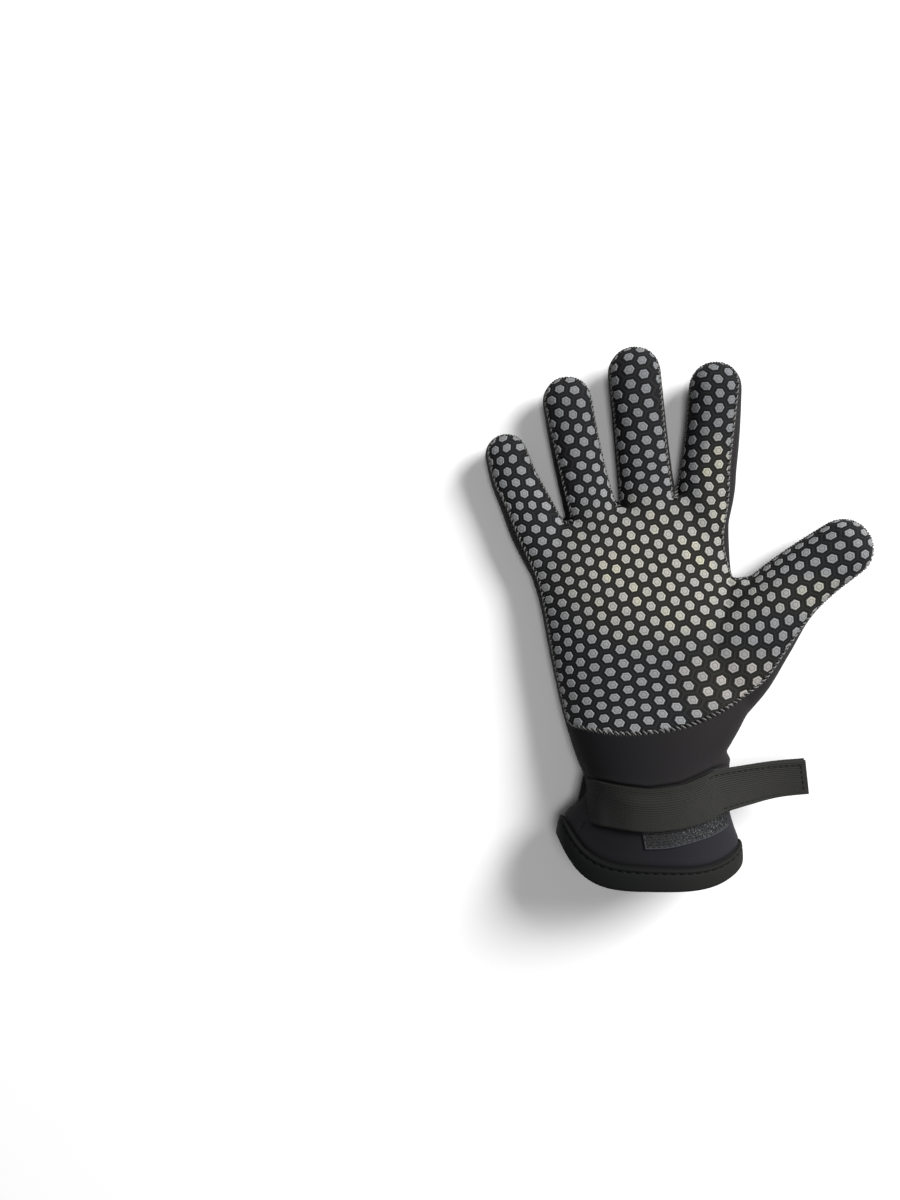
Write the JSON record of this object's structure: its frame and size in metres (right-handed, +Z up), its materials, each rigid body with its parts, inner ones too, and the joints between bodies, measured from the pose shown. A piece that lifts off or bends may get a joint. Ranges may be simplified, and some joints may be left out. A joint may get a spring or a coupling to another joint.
{
  "type": "neoprene sport glove",
  "caption": "Full-finger neoprene glove lying palm up: dotted grip palm, smooth stretch back, bound cuff and an open wrist strap with a hook patch.",
  "frame": {"origin": "on the surface that the glove lies on, under the middle of the palm, on the flattened stretch of its back", "axes": "+Y from the cuff to the fingertips, +X to the thumb side, +Z up out of the palm"},
  "size_m": [0.1847, 0.2555, 0.0467],
  "materials": {
    "dotted_palm": "black knit over foam neoprene with raised grey grip dots",
    "smooth_neoprene": "matt knit-faced foam neoprene",
    "binding_tape": "matt stretch binding",
    "ribbed_webbing": "ribbed elastic webbing",
    "loop_tape": "soft loop pile",
    "hook_tape": "rough hook tape"
  },
  "bodies": {
    "root": {"palm_panel": "dotted_palm", "back_panel": "smooth_neoprene", "cuff_binding": "binding_tape", "wrist_strap": "ribbed_webbing", "strap_loop_tape": "loop_tape", "hook_patch": "hook_tape"}
  },
  "joints": []
}
